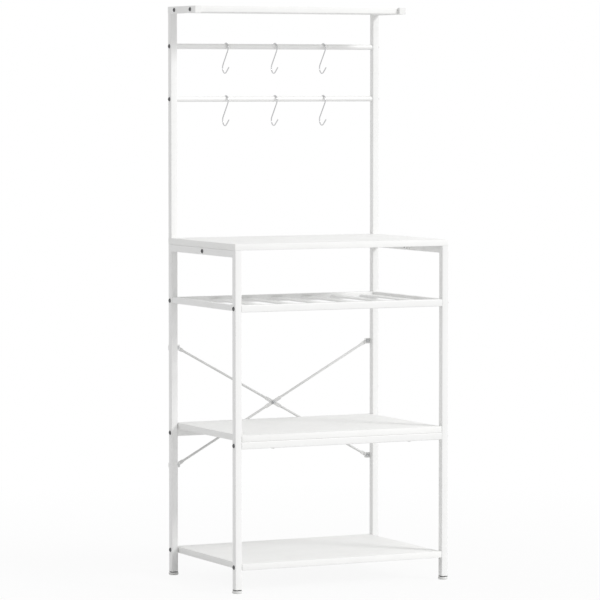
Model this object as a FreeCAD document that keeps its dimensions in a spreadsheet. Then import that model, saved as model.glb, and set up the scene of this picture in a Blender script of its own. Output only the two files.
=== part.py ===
import FreeCAD, Part
import os
import re

import Sketcher

# Kitchen shelf unit of welded square tube
# The origin is on the floor below the unit's centre, +X to the right, +Y to the back, +Z up

doc = FreeCAD.newDocument("shelf_unit")
Vector = FreeCAD.Vector
Rotation = FreeCAD.Rotation

# Driving sizes in millimetres, apart from the counts and the rise of a hook's leg in degrees
SIZES = {
    # Overall
    "width": 600,
    "depth": 400,
    "height": 1460,
    # Square tube of the frames and rails
    "tube_side": 18,
    "tube_wall": 1.2,
    "tube_corner": 1.2,
    "slat_rail_side": 15,
    # Top faces above the floor
    "bottom_level": 73,
    "middle_level": 393,
    "slatted_level": 717,
    "worktop_level": 868.5,
    # Boards
    "board_thick": 16,
    "board_edge": 0.8,
    "board_gap": 0.7,
    # Arms and top board
    "arm_length": 167,
    "arm_cap_thick": 1.5,
    "arm_cap_plug": 10,
    "top_board_setback": 9,
    "arm_bolt_front_inset": 30.5,
    "arm_bolt_rear_inset": 40,
    # Hook rails
    "hook_rail_diameter": 14,
    "hook_rail_wall": 1,
    "upper_hook_drop": 101,
    "lower_hook_drop": 236,
    # Hooks
    "hook_wire": 3,
    "hook_gap": 0.4,
    "hook_upper_radius": 12.5,
    "hook_lower_radius": 14,
    "hook_drop": 51,
    "hook_lower_shift": 7,
    "hook_rear_tip": 1.5,
    "hook_leg": 19,
    "hook_leg_rise": 38,
    "hook_spacing": 140,
    # Slatted shelf
    "strip_width": 32,
    "strip_thick": 4,
    "strip_count": 7,
    "strip_end_gap": 3.5,
    # Crossed brace
    "brace_low_level": 283,
    "brace_high_level": 586,
    "brace_rod": 6,
    "brace_flat_width": 9.5,
    "brace_flat_thick": 2,
    "brace_centre_flat": 20,
    "brace_end_flat": 14,
    "brace_taper": 8,
    "brace_plate_thick": 2.5,
    "brace_plate_high": 14,
    "brace_plate_reach": 14,
    "brace_plate_corner": 2,
    "brace_end_corner": 2.5,
    "brace_bolt": 5,
    "brace_hole": 5.8,
    "brace_bolt_length": 10,
    "brace_head": 9.5,
    "brace_head_high": 2.6,
    "brace_nut_across": 8,
    "brace_nut_thick": 4,
    # Frame bolts with button heads
    "bolt": 6,
    "bolt_length": 30,
    "bolt_head": 11,
    "bolt_head_high": 2.4,
    "bolt_hole": 6.6,
    "head_cut_share": 0.67,
    "socket_across_share": 0.36,
    "socket_depth_share": 0.55,
    # Threaded plugs and inserts
    "fit_gap": 0.1,
    "thread_gap": 0.05,
    "plug_length": 16,
    "insert_diameter": 10,
    "insert_length": 12,
    "insert_room": 1,
    # Levelling feet
    "foot_pad_diameter": 25,
    "foot_pad_thick": 6.5,
    "foot_pad_edge": 1.5,
    "foot_collar_diameter": 12,
    "foot_collar_thick": 1.2,
    "foot_plug_flange": 1.3,
    "foot_stud": 6,
    "foot_stud_root": 4,
    "foot_stud_length": 28,
    # Studs that join the upper frames to the lower ones
    "joint_stud": 8,
    "joint_stud_reach": 20,
    "joint_plug_length": 25,
    "joint_hole": 8.4,
    # Brackets under the worktop
    "bracket_thick": 2,
    "bracket_drop": 16,
    "bracket_reach": 20,
    "bracket_width": 36,
    "bracket_shift": 7,
    "bracket_screw_spacing": 20,
    "bracket_bolt_length": 26,
    "bracket_nut_across": 10,
    "bracket_nut_thick": 5,
    # Wood screws
    "screw": 4,
    "screw_head": 7,
    "screw_head_high": 2,
    "screw_bite": 10,
    "screw_hole": 4.4,
    "pilot_room": 1,
    "middle_screw_inset": 90,
}

sheet = doc.addObject("Spreadsheet::Sheet", "Sizes")
for row, (name, value) in enumerate(SIZES.items(), start=1):
    sheet.set(f"A{row}", name)
    sheet.set(f"B{row}", str(value))
    sheet.setAlias(f"B{row}", name)
doc.recompute()

# Places and lengths that several pieces share, as formulas of the sizes above
INNER_WIDTH = "(width - 2 * tube_side)"
POST_ACROSS = "((width - tube_side) / 2)"
POST_BACK = "((depth - tube_side) / 2)"
TUBE_BORE = "(tube_side - 2 * tube_wall)"
POST_BOTTOM = "(foot_pad_thick + foot_collar_thick + foot_plug_flange)"
WORKTOP_UNDERSIDE = "(worktop_level - board_thick)"
SIDE_RAIL_LEVEL = f"({WORKTOP_UNDERSIDE} - tube_side / 2)"
SLAT_BOLT_LEVEL = "(slatted_level - tube_side / 2)"
MIDDLE_RAIL_TOP = "(middle_level - board_thick)"
MIDDLE_RAIL_LEVEL = f"({MIDDLE_RAIL_TOP} - tube_side / 2)"
BOTTOM_BOLT_LEVEL = "(bottom_level - board_thick / 2)"
ARM_LEVEL = "(height - tube_side / 2)"
UPPER_HOOK_LEVEL = "(height - upper_hook_drop)"
LOWER_HOOK_LEVEL = "(height - lower_hook_drop)"
ARM_FRONT = "(depth / 2 - arm_length)"
ARM_BOLT_FRONT = f"({ARM_FRONT} + arm_bolt_front_inset)"
ARM_BOLT_REAR = "(depth / 2 - arm_bolt_rear_inset)"
BOARD_LENGTH = f"({INNER_WIDTH} - 2 * board_gap)"
BRACE_HOLE_ACROSS = "((width - brace_plate_reach) / 2 - tube_side)"
BRACE_BACK = "(depth / 2 + brace_plate_thick + brace_flat_thick / 2)"
BRACE_LEVEL = "((brace_low_level + brace_high_level) / 2)"
BRACE_RISE = "(brace_high_level - brace_low_level)"
BRACE_LENGTH = f"sqrt({BRACE_RISE} ^ 2 + (2 * {BRACE_HOLE_ACROSS}) ^ 2)"
MIDDLE_SCREW_ACROSS = f"({INNER_WIDTH} / 2 - middle_screw_inset)"
BRACKET_SCREW_ACROSS = "((bracket_reach + bracket_thick) / 2)"
BRACKET_BACK = "-bracket_shift"

# Turns that point a piece's own +Z another way
UP = Rotation()
DOWN = Rotation(Vector(1, 0, 0), 180)
LEFT = Rotation(Vector(0, 1, 0), -90)
RIGHT = Rotation(Vector(0, 1, 0), 90)
BACK = Rotation(Vector(1, 0, 0), -90)
FRONT = Rotation(Vector(1, 0, 0), 90)

# Straight pieces in each bend of a hook
HOOK_STEPS = 12

# Sides that stand for a circle on small fasteners, bolt heads and foot pads
SMALL_SIDES = 8
HEAD_SIDES = 12
FOOT_SIDES = 20
HEXAGON_SIDES = 6

PLANES = {"plan": "XY_Plane", "front": "XZ_Plane", "side": "YZ_Plane"}
nodes = {}


def cells(text):
    """The formula with each size's name turned into its cell's."""
    return re.sub(r"\b[a-z]\w*", lambda word: f"Sizes.{word[0]}" if word[0] in SIZES else word[0], text)


def bind(thing, path, text):
    thing.setExpression(path, cells(text))


def number(text):
    """The value that a formula has now."""
    result = sheet.evalExpression(cells(text))
    return float(getattr(result, "Value", result))


def move(thing, across="0", back="0", up="0", turn=UP):
    thing.Placement = FreeCAD.Placement(Vector(), turn)
    bind(thing, "Placement.Base.x", across)
    bind(thing, "Placement.Base.y", back)
    bind(thing, "Placement.Base.z", up)


# Sketches


def origin_feature(body, role):
    return next(item for item in body.Origin.OriginFeatures if item.Role == role)


def new_sketch(body, name, plane, offset="0"):
    sketch = body.newObject("Sketcher::SketchObject", name)
    sketch.AttachmentSupport = [(origin_feature(body, PLANES[plane]), "")]
    sketch.MapMode = "FlatFace"
    sketch.Visibility = False
    bind(sketch, "AttachmentOffset.Base.z", offset)
    return sketch


def measure(sketch, kind, places, text):
    """A dimension of the sketch that follows a formula."""
    index = sketch.addConstraint(Sketcher.Constraint(kind, *places, number(text)))
    bind(sketch, f"Constraints[{index}]", text)


def fix_point(sketch, item, point, across, up):
    """Hold one point of the sketch at a place given from its origin."""
    if across == "0":
        sketch.addConstraint(Sketcher.Constraint("PointOnObject", item, point, -2))
    else:
        measure(sketch, "DistanceX", (-1, 1, item, point), across)
    if up == "0":
        sketch.addConstraint(Sketcher.Constraint("PointOnObject", item, point, -1))
    else:
        measure(sketch, "DistanceY", (-1, 1, item, point), up)


def circle(sketch, across, up, diameter):
    centre = Vector(number(across), number(up), 0)
    item = sketch.addGeometry(Part.Circle(centre, Vector(0, 0, 1), number(diameter) / 2))
    fix_point(sketch, item, 3, across, up)
    measure(sketch, "Diameter", (item,), diameter)


def outline(sketch, corners):
    """A closed outline with straight sides through the corners."""
    points = [Vector(number(across), number(up), 0) for across, up in corners]
    items = []
    for index, start in enumerate(points):
        end = points[(index + 1) % len(points)]
        items.append(sketch.addGeometry(Part.LineSegment(start, end)))
    for index, item in enumerate(items):
        following = items[(index + 1) % len(items)]
        sketch.addConstraint(Sketcher.Constraint("Coincident", item, 2, following, 1))
        fix_point(sketch, item, 1, *corners[index])


def open_path(sketch, corners):
    """A run of straight lines through the corners."""
    points = [Vector(number(across), number(up), 0) for across, up in corners]
    items = [sketch.addGeometry(Part.LineSegment(*pair)) for pair in zip(points, points[1:])]
    for item, following in zip(items, items[1:]):
        sketch.addConstraint(Sketcher.Constraint("Coincident", item, 2, following, 1))
    for item, corner in zip(items, corners):
        fix_point(sketch, item, 1, *corner)
    fix_point(sketch, items[-1], 2, *corners[-1])


def rectangle(sketch, across, up, wide, high):
    left, right = f"{across} - {wide} / 2", f"{across} + {wide} / 2"
    low, top = f"{up} - {high} / 2", f"{up} + {high} / 2"
    outline(sketch, [(left, low), (right, low), (right, top), (left, top)])


def cut_rectangle(sketch, across, up, wide, high, cut):
    """A rectangle whose corners are cut off at 45 degrees."""
    left, right = f"{across} - {wide} / 2", f"{across} + {wide} / 2"
    low, top = f"{up} - {high} / 2", f"{up} + {high} / 2"
    outline(sketch, [
        (f"{left} + {cut}", low), (f"{right} - {cut}", low),
        (right, f"{low} + {cut}"), (right, f"{top} - {cut}"),
        (f"{right} - {cut}", top), (f"{left} + {cut}", top),
        (left, f"{top} - {cut}"), (left, f"{low} + {cut}"),
    ])


def polygon(sketch, across, up, flats, sides):
    """A regular polygon, measured across its flats, with a flat to the right."""
    corners = []
    for index in range(sides):
        angle = 360 * (index + 0.5) / sides
        reach = f"{flats} / (2 * cos({180 / sides}))"
        corners.append((f"{across} + {reach} * cos({angle})", f"{up} + {reach} * sin({angle})"))
    outline(sketch, corners)


def tube_outline(sketch, across, up, side="tube_side"):
    cut_rectangle(sketch, across, up, side, side, "tube_corner")


def tube_bore(sketch, across, up, side="tube_side"):
    bore = f"({side} - 2 * tube_wall)"
    rectangle(sketch, across, up, bore, bore)


def small_round(sketch, across, up, flats):
    """The outline of a fastener's hole, thread or shank; what repeats so often has few sides."""
    polygon(sketch, across, up, flats, SMALL_SIDES)


# Features


def new_body(label, **place):
    body = doc.addObject("PartDesign::Body", label)
    move(body, **place)
    return body


def sub_part(thing):
    nodes[thing.Label] = thing
    return thing


def extrude(body, kind, sketch, length=None, both_ways=False, turned=False):
    """A pad or pocket; with no length it goes through everything."""
    feature = body.newObject(f"PartDesign::{kind}", f"{sketch.Name}_{kind.lower()}")
    feature.Profile = sketch
    feature.SideType = "Symmetric" if both_ways else "One side"
    feature.Reversed = turned
    if length is None:
        feature.Type = "ThroughAll"
    else:
        bind(feature, "Length", length)
    return feature


def pad(body, sketch, length, **way):
    return extrude(body, "Pad", sketch, length, **way)


def pocket(body, sketch, length=None, **way):
    return extrude(body, "Pocket", sketch, length, **way)


def loft(body, name, first, last):
    """Flat sides between two outlines with as many corners."""
    feature = body.newObject("PartDesign::AdditiveLoft", name)
    feature.Profile = first
    feature.Sections = [last]
    feature.Ruled = True
    return feature


def mirror(body, features):
    """The same features on the other side of the body's own middle plane."""
    feature = body.newObject("PartDesign::Mirrored", "other_side")
    feature.Originals = features
    feature.MirrorPlane = (origin_feature(body, "YZ_Plane"), [""])
    body.Tip = feature


def ease_edges(body, base, cut, level=None):
    """Cut off all the edges of a body, or only those that lie at one level of its own."""
    doc.recompute()
    feature = body.newObject("PartDesign::Chamfer", "eased_edges")
    feature.Base = (base, [""])
    feature.UseAllEdges = True
    if level is not None:
        there = number(level)
        flat = [all(abs(vertex.Z - there) < Part.Precision.confusion() for vertex in edge.Vertexes)
                for edge in base.Shape.Edges]
        feature.UseAllEdges = False
        feature.Base = (base, [f"Edge{index + 1}" for index, wanted in enumerate(flat) if wanted])
    bind(feature, "Size", cut)


def group(label, master, places):
    """One sub-part of separate copies, each at a place and with its own +Z turned outward."""
    copies = []
    for across, back, up, turn in places:
        copy = doc.addObject("App::Link", f"{label}_copy")
        copy.LinkedObject = master
        move(copy, across, back, up, turn)
        copies.append(copy)
    compound = doc.addObject("Part::Compound", label)
    compound.Links = copies
    return sub_part(compound)


def both_sides(across, backs, up):
    """Places on the left and right, pointing outward."""
    left = [(f"-({across})", back, up, LEFT) for back in backs]
    right = [(across, back, up, RIGHT) for back in backs]
    return left + right


# Side frames


def lower_side_frame(side, inward):
    body = new_body(f"{side}_lower_frame", across=f"{-inward} * {POST_ACROSS}")
    backs = (f"-{POST_BACK}", POST_BACK)
    posts = new_sketch(body, "posts", "plan", POST_BOTTOM)
    for back in backs:
        tube_outline(posts, "0", back)
    pad(body, posts, f"{WORKTOP_UNDERSIDE} - {POST_BOTTOM}")

    side_rails = new_sketch(body, "side_rails", "front")
    tube_outline(side_rails, "0", SIDE_RAIL_LEVEL)
    tube_outline(side_rails, "0", "(slatted_level - slat_rail_side / 2)", "slat_rail_side")
    pad(body, side_rails, f"2 * {POST_BACK}", both_ways=True)

    plates = new_sketch(body, "brace_plates", "front", "-depth / 2")
    holes = new_sketch(body, "brace_plate_holes", "front", "-depth / 2")
    for level in ("brace_low_level", "brace_high_level"):
        middle = f"{inward} * brace_plate_reach / 2"
        plate_wide = "(tube_side + brace_plate_reach)"
        cut_rectangle(plates, middle, level, plate_wide, "brace_plate_high", "brace_plate_corner")
        small_round(holes, f"{inward} * (tube_side + brace_plate_reach) / 2", level, "brace_hole")
    pad(body, plates, "brace_plate_thick", turned=True)
    pocket(body, holes)

    post_bores = new_sketch(body, "post_bores", "plan")
    for back in backs:
        tube_bore(post_bores, "0", back)
    pocket(body, post_bores, both_ways=True)

    rail_bores = new_sketch(body, "rail_bores", "front")
    tube_bore(rail_bores, "0", SIDE_RAIL_LEVEL)
    tube_bore(rail_bores, "0", "(slatted_level - slat_rail_side / 2)", "slat_rail_side")
    pocket(body, rail_bores, "depth - 2 * tube_side", both_ways=True)

    bolt_holes = new_sketch(body, "bolt_holes", "side")
    for level in (BOTTOM_BOLT_LEVEL, MIDDLE_RAIL_LEVEL, SLAT_BOLT_LEVEL):
        for back in backs:
            small_round(bolt_holes, back, level, "bolt_hole")
    small_round(bolt_holes, BRACKET_BACK, SIDE_RAIL_LEVEL, "bolt_hole")
    pocket(body, bolt_holes, both_ways=True)
    return sub_part(body)


def upper_side_frame(side, inward):
    body = new_body(f"{side}_upper_frame", across=f"{-inward} * {POST_ACROSS}")
    post = new_sketch(body, "post", "plan", "worktop_level")
    tube_outline(post, "0", POST_BACK)
    pad(body, post, "height - worktop_level")

    arm = new_sketch(body, "arm", "front", "-depth / 2")
    tube_outline(arm, "0", ARM_LEVEL)
    pad(body, arm, "arm_length - arm_cap_thick")

    post_bore = new_sketch(body, "post_bore", "plan", "worktop_level")
    tube_bore(post_bore, "0", POST_BACK)
    pocket(body, post_bore, "height - worktop_level - tube_wall", turned=True)

    arm_bore = new_sketch(body, "arm_bore", "front", "tube_wall - depth / 2")
    tube_bore(arm_bore, "0", ARM_LEVEL)
    pocket(body, arm_bore, turned=True)

    bolt_holes = new_sketch(body, "bolt_holes", "side")
    for back in (ARM_BOLT_FRONT, ARM_BOLT_REAR):
        small_round(bolt_holes, back, ARM_LEVEL, "bolt_hole")
    for level in (UPPER_HOOK_LEVEL, LOWER_HOOK_LEVEL):
        small_round(bolt_holes, POST_BACK, level, "bolt_hole")
    pocket(body, bolt_holes, both_ways=True)
    return sub_part(body)


# Boards


def board(label, wide, deep, **place):
    """A laminated board whose own origin is in the middle of its top face."""
    body = new_body(label, **place)
    face = new_sketch(body, "face", "plan")
    rectangle(face, "0", "0", wide, deep)
    panel = pad(body, face, "board_thick", turned=True)
    ease_edges(body, panel, "board_edge")
    return sub_part(body)


def insert_holes(body, backs, middle):
    """Blind holes in both ends of a board that hangs between the frames."""
    holes = new_sketch(body, "insert_holes", "side", f"{BOARD_LENGTH} / 2")
    for back in backs:
        small_round(holes, back, middle, "(insert_diameter + 2 * fit_gap)")
    mirror(body, [pocket(body, holes, "insert_length + insert_room")])


def pilot_holes(body, places):
    """Blind holes in a board's underside."""
    holes = new_sketch(body, "pilot_holes", "plan", "-board_thick")
    for across, back in places:
        small_round(holes, across, back, "(screw + 2 * thread_gap)")
    pocket(body, holes, "screw_bite + pilot_room", turned=True)


# Rails and shelf


def middle_rail(label, back):
    """A square tube under the middle board, with a hole for each of its screws."""
    body = new_body(label, back=back, up=MIDDLE_RAIL_LEVEL)
    section = new_sketch(body, "section", "side")
    tube_outline(section, "0", "0")
    pad(body, section, INNER_WIDTH, both_ways=True)
    bore = new_sketch(body, "bore", "side")
    tube_bore(bore, "0", "0")
    pocket(body, bore, both_ways=True)
    screw_holes = new_sketch(body, "screw_holes", "plan")
    for sign in ("-", ""):
        small_round(screw_holes, f"{sign}{MIDDLE_SCREW_ACROSS}", "0", "screw_hole")
    pocket(body, screw_holes, both_ways=True)
    return sub_part(body)


def hook_rail(label, level):
    body = new_body(label, back=POST_BACK, up=level)
    section = new_sketch(body, "section", "side")
    circle(section, "0", "0", "hook_rail_diameter")
    circle(section, "0", "0", "hook_rail_diameter - 2 * hook_rail_wall")
    pad(body, section, INNER_WIDTH, both_ways=True)
    return sub_part(body)


def slatted_shelf():
    """Two square rails with flat strips welded between them, at half the rails' height."""
    body = new_body("slatted_shelf", up=SLAT_BOLT_LEVEL)
    rails = new_sketch(body, "rails", "side")
    bores = new_sketch(body, "rail_bores", "side")
    for back in (f"-{POST_BACK}", POST_BACK):
        tube_outline(rails, back, "0")
        tube_bore(bores, back, "0")
    pad(body, rails, INNER_WIDTH, both_ways=True)
    pocket(body, bores, both_ways=True)
    strip = new_sketch(body, "strip", "front")
    reach = f"({INNER_WIDTH} - 2 * strip_end_gap - strip_width)"
    rectangle(strip, f"-{reach} / 2", "0", "strip_width", "strip_thick")
    first = pad(body, strip, "depth - 2 * tube_side + tube_wall", both_ways=True)
    strips = body.newObject("PartDesign::LinearPattern", "strips")
    strips.Originals = [first]
    strips.Direction = (origin_feature(body, "X_Axis"), [""])
    bind(strips, "Length", reach)
    bind(strips, "Occurrences", "strip_count")
    body.Tip = strips
    return sub_part(body)


# Hooks


def hook():
    """An S-shaped wire hook about its rail's axis, which is the body's own origin."""
    body = new_body("hook")
    top = "(hook_rail_diameter / 2 + hook_gap + hook_wire / 2)"
    upper_centre = f"({top} - hook_upper_radius)"
    lower_centre = f"({upper_centre} - hook_drop)"
    centres_apart = "sqrt(hook_lower_shift ^ 2 + hook_drop ^ 2)"
    tangent = f"asin((hook_upper_radius + hook_lower_radius) / {centres_apart})"
    crossing = f"(atan(hook_lower_shift / hook_drop) + {tangent})"
    upper_turn = f"(180 deg + {crossing})"
    lower_end = "(-90 deg - hook_leg_rise * 1 deg)"
    lower_turn = f"({crossing} - {lower_end})"
    path = [("hook_upper_radius", f"{upper_centre} - hook_rear_tip")]
    for step in range(HOOK_STEPS + 1):
        angle = f"({upper_turn} * {step} / {HOOK_STEPS})"
        path.append((
            f"hook_upper_radius * cos({angle})",
            f"{upper_centre} + hook_upper_radius * sin({angle})",
        ))
    for step in range(HOOK_STEPS + 1):
        angle = f"({crossing} - {lower_turn} * {step} / {HOOK_STEPS})"
        path.append((
            f"hook_lower_shift + hook_lower_radius * cos({angle})",
            f"{lower_centre} + hook_lower_radius * sin({angle})",
        ))
    bowl_across, bowl_up = path[-1]
    path.append((
        f"{bowl_across} - hook_leg * cos(hook_leg_rise)",
        f"{bowl_up} + hook_leg * sin(hook_leg_rise)",
    ))
    wire = new_sketch(body, "wire", "side")
    open_path(wire, path)
    section = new_sketch(body, "wire_section", "plan", f"{upper_centre} - hook_rear_tip")
    polygon(section, "0", "hook_upper_radius", "hook_wire", HEXAGON_SIDES)
    doc.recompute()
    bend = body.newObject("PartDesign::AdditivePipe", "bent_wire")
    bend.Profile = section
    bend.Spine = (wire, [f"Edge{index + 1}" for index in range(len(wire.Shape.Edges))])
    bend.Transition = "Right corner"
    return body


# Brace


def brace_rod(label, rising, layer):
    """A round rod with flattened ends and a flattened middle, along its own X axis."""
    body = new_body(label, back=BRACE_BACK, up=BRACE_LEVEL)
    body.Placement = FreeCAD.Placement(Vector(), Rotation(Vector(0, -rising, 0), 1))
    bind(body, "Placement.Base.y", BRACE_BACK)
    bind(body, "Placement.Base.z", BRACE_LEVEL)
    bind(body, "Placement.Rotation.Angle", f"atan({BRACE_RISE} / (2 * {BRACE_HOLE_ACROSS}))")
    half = f"({BRACE_LENGTH} / 2)"
    round_start = "(brace_centre_flat + brace_taper)"
    round_end = f"({half} - brace_end_flat - brace_taper)"

    middle = new_sketch(body, "middle_flat", "front")
    rectangle(middle, "0", "0", "2 * brace_centre_flat", "brace_flat_width")
    small_round(middle, "0", "0", "brace_hole")
    pad(body, middle, "brace_flat_thick", turned=layer > 0)

    def flat_section(name, place, shift):
        """A flat's end, with eight corners to match the rod's."""
        sketch = new_sketch(body, name, "side", place)
        thin, wide = "brace_flat_thick / 2", "brace_flat_width / 2"
        inner = "brace_flat_width / 4"
        outline(sketch, [
            (f"{shift} + {thin}", inner), (f"{shift} + {thin}", wide),
            (f"{shift} - {thin}", wide), (f"{shift} - {thin}", inner),
            (f"{shift} - {thin}", f"-{inner}"), (f"{shift} - {thin}", f"-{wide}"),
            (f"{shift} + {thin}", f"-{wide}"), (f"{shift} + {thin}", f"-{inner}"),
        ])
        return sketch

    def rod_section(name, place):
        sketch = new_sketch(body, name, "side", place)
        small_round(sketch, "0", "0", "brace_rod")
        return sketch

    inner_flat = flat_section("inner_flat", "brace_centre_flat", f"{layer} * brace_flat_thick / 2")
    inner_taper = loft(body, "inner_taper", inner_flat, rod_section("inner_ring", round_start))
    rod = pad(body, rod_section("rod", round_start), f"{round_end} - {round_start}")
    outer_flat = flat_section("outer_flat", f"{half} - brace_end_flat", "0")
    outer_taper = loft(body, "outer_taper", rod_section("outer_ring", round_end), outer_flat)
    end = new_sketch(body, "end_flat", "front")
    end_start, end_tip = f"{half} - brace_end_flat", f"{half} + brace_flat_width / 2"
    outline(end, [
        (end_start, "-brace_flat_width / 2"),
        (f"{end_tip} - brace_end_corner", "-brace_flat_width / 2"),
        (end_tip, "brace_end_corner - brace_flat_width / 2"),
        (end_tip, "brace_flat_width / 2 - brace_end_corner"),
        (f"{end_tip} - brace_end_corner", "brace_flat_width / 2"),
        (end_start, "brace_flat_width / 2"),
    ])
    small_round(end, half, "0", "brace_hole")
    end_flat = pad(body, end, "brace_flat_thick", both_ways=True)
    mirror(body, [inner_taper, rod, outer_taper, end_flat])
    return sub_part(body)


# Fasteners, plugs and feet, each drawn once with its own +Z pointing out of its seat


def shank(body, diameter, length):
    section = new_sketch(body, "shank", "plan")
    small_round(section, "0", "0", diameter)
    pad(body, section, length, turned=True)


def button_bolt(label, diameter, length, head, head_high):
    """A bolt with a low head that narrows to its top, and a socket for a six-sided key."""
    body = new_body(label)
    shank(body, diameter, length)
    rim = new_sketch(body, "rim", "plan")
    polygon(rim, "0", "0", head, HEAD_SIDES)
    ease_edges(body, pad(body, rim, head_high), f"{head_high} * head_cut_share", head_high)
    socket = new_sketch(body, "socket", "plan", head_high)
    polygon(socket, "0", "0", f"({head} * socket_across_share)", HEXAGON_SIDES)
    pocket(body, socket, f"{head_high} * socket_depth_share")
    return body


def wood_screw(label, length):
    """A screw with a flat head, whose threaded part is a plain shank."""
    body = new_body(label)
    shank(body, "screw", length)
    head = new_sketch(body, "head", "plan")
    small_round(head, "0", "0", "screw_head")
    pad(body, head, "screw_head_high")
    return body


def hexagon_nut(label, across_flats, thick, bolt):
    """A nut whose seat is at its own origin and whose body goes outward."""
    body = new_body(label)
    face = new_sketch(body, "face", "plan")
    polygon(face, "0", "0", across_flats, HEXAGON_SIDES)
    small_round(face, "0", "0", f"({bolt} + 2 * thread_gap)")
    pad(body, face, thick)
    return body


def square_plug(label, length, bolt):
    """A threaded plug in a square tube's end."""
    body = new_body(label)
    side = f"({TUBE_BORE} - 2 * fit_gap)"
    face = new_sketch(body, "face", "plan")
    rectangle(face, "0", "0", side, side)
    small_round(face, "0", "0", f"({bolt} + 2 * thread_gap)")
    pad(body, face, length, turned=True)
    return body


def round_sleeve(label, diameter, length, bolt):
    """A threaded plug or insert in a round hole."""
    body = new_body(label)
    face = new_sketch(body, "face", "plan")
    small_round(face, "0", "0", diameter)
    small_round(face, "0", "0", f"({bolt} + 2 * thread_gap)")
    pad(body, face, length, turned=True)
    return body


def plain_stud(label, diameter, length):
    body = new_body(label)
    face = new_sketch(body, "face", "plan")
    small_round(face, "0", "0", diameter)
    pad(body, face, length)
    return body


def arm_cap():
    """A cover on the arm's front end with a plug inside the tube."""
    body = new_body("arm_cap")
    cover = new_sketch(body, "cover", "plan")
    tube_outline(cover, "0", "0")
    pad(body, cover, "arm_cap_thick")
    plug = new_sketch(body, "plug", "plan")
    side = f"({TUBE_BORE} - 2 * fit_gap)"
    rectangle(plug, "0", "0", side, side)
    pad(body, plug, "arm_cap_plug", turned=True)
    return body


def foot_plug():
    """The threaded plug in a post's bottom, whose flange covers the tube's end."""
    body = new_body("foot_plug")
    flange = new_sketch(body, "flange", "plan")
    tube_outline(flange, "0", "0")
    pad(body, flange, "foot_plug_flange")
    plug = new_sketch(body, "plug", "plan")
    side = f"({TUBE_BORE} - 2 * fit_gap)"
    rectangle(plug, "0", "0", side, side)
    pad(body, plug, "plug_length", turned=True)
    thread = new_sketch(body, "thread", "plan")
    small_round(thread, "0", "0", "(foot_stud + 2 * thread_gap)")
    pocket(body, thread, both_ways=True)
    return body


def foot_pad():
    """A foot's pad with its eased sole, its collar and the socket of its stud."""
    body = new_body("foot_pad")
    disc = new_sketch(body, "disc", "plan")
    polygon(disc, "0", "0", "foot_pad_diameter", FOOT_SIDES)
    ease_edges(body, pad(body, disc, "foot_pad_thick"), "foot_pad_edge", "0")
    collar = new_sketch(body, "collar", "plan", "foot_pad_thick")
    polygon(collar, "0", "0", "foot_collar_diameter", HEAD_SIDES)
    pad(body, collar, "foot_collar_thick")
    socket = new_sketch(body, "socket", "plan", "foot_pad_thick - foot_stud_root")
    small_round(socket, "0", "0", "(foot_stud + 2 * thread_gap)")
    pocket(body, socket, turned=True)
    return body


def worktop_bracket():
    """An angle whose own origin is where a side rail's inner face meets the worktop."""
    body = new_body("worktop_bracket")
    angle = new_sketch(body, "angle", "front")
    outline(angle, [
        ("0", "-bracket_drop"),
        ("bracket_thick", "-bracket_drop"),
        ("bracket_thick", "-bracket_thick"),
        ("bracket_reach", "-bracket_thick"),
        ("bracket_reach", "0"),
        ("0", "0"),
    ])
    pad(body, angle, "bracket_width", both_ways=True)
    bolt_hole = new_sketch(body, "bolt_hole", "side")
    small_round(bolt_hole, "0", "-tube_side / 2", "bolt_hole")
    pocket(body, bolt_hole, both_ways=True)
    screw_holes = new_sketch(body, "screw_holes", "plan")
    for sign in ("-", ""):
        small_round(screw_holes, BRACKET_SCREW_ACROSS, f"{sign}bracket_screw_spacing / 2", "screw_hole")
    pocket(body, screw_holes, both_ways=True)
    return body


# Frames, shelves and rails
for side_name, toward_middle in (("left", 1), ("right", -1)):
    lower_side_frame(side_name, toward_middle)
    upper_side_frame(side_name, toward_middle)

POST_BACKS = (f"-{POST_BACK}", POST_BACK)
HALF_THICK = "-board_thick / 2"
bottom_board = board("bottom_board", BOARD_LENGTH, "depth", up="bottom_level")
insert_holes(bottom_board, POST_BACKS, HALF_THICK)

middle_board = board("middle_board", BOARD_LENGTH, "depth", up="middle_level")
MIDDLE_SCREWS = [(f"{sign}{MIDDLE_SCREW_ACROSS}", back) for sign in ("-", "") for back in POST_BACKS]
pilot_holes(middle_board, MIDDLE_SCREWS)
middle_rail("middle_front_rail", f"-{POST_BACK}")
middle_rail("middle_rear_rail", POST_BACK)

slatted_shelf()

worktop = board("worktop_board", "width", "depth", up="worktop_level")
stud_holes = new_sketch(worktop, "stud_holes", "plan")
for sign in ("-", ""):
    small_round(stud_holes, f"{sign}{POST_ACROSS}", POST_BACK, "joint_hole")
pocket(worktop, stud_holes)
BRACKET_SCREWS = [
    (f"{sign}({INNER_WIDTH} / 2 - {BRACKET_SCREW_ACROSS})", f"{BRACKET_BACK} {way} bracket_screw_spacing / 2")
    for sign in ("-", "") for way in ("-", "+")
]
pilot_holes(worktop, BRACKET_SCREWS)

TOP_DEPTH = "(arm_length - top_board_setback)"
TOP_BACK = f"(depth / 2 - {TOP_DEPTH} / 2)"
top_board = board("top_board", BOARD_LENGTH, TOP_DEPTH, back=TOP_BACK, up="height")
TOP_BOLTS = [f"{place} - {TOP_BACK}" for place in (ARM_BOLT_FRONT, ARM_BOLT_REAR)]
insert_holes(top_board, TOP_BOLTS, "-tube_side / 2")

HOOK_LEVELS = {"upper": UPPER_HOOK_LEVEL, "lower": LOWER_HOOK_LEVEL}
HOOK_PLACES = {"left": "-hook_spacing", "middle": "0", "right": "hook_spacing"}
hook_piece = hook()
for rail_name, rail_level in HOOK_LEVELS.items():
    hook_rail(f"{rail_name}_hook_rail", rail_level)
    for hook_name, hook_across in HOOK_PLACES.items():
        group(f"{rail_name}_{hook_name}_hook", hook_piece, [(hook_across, POST_BACK, rail_level, UP)])

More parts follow.
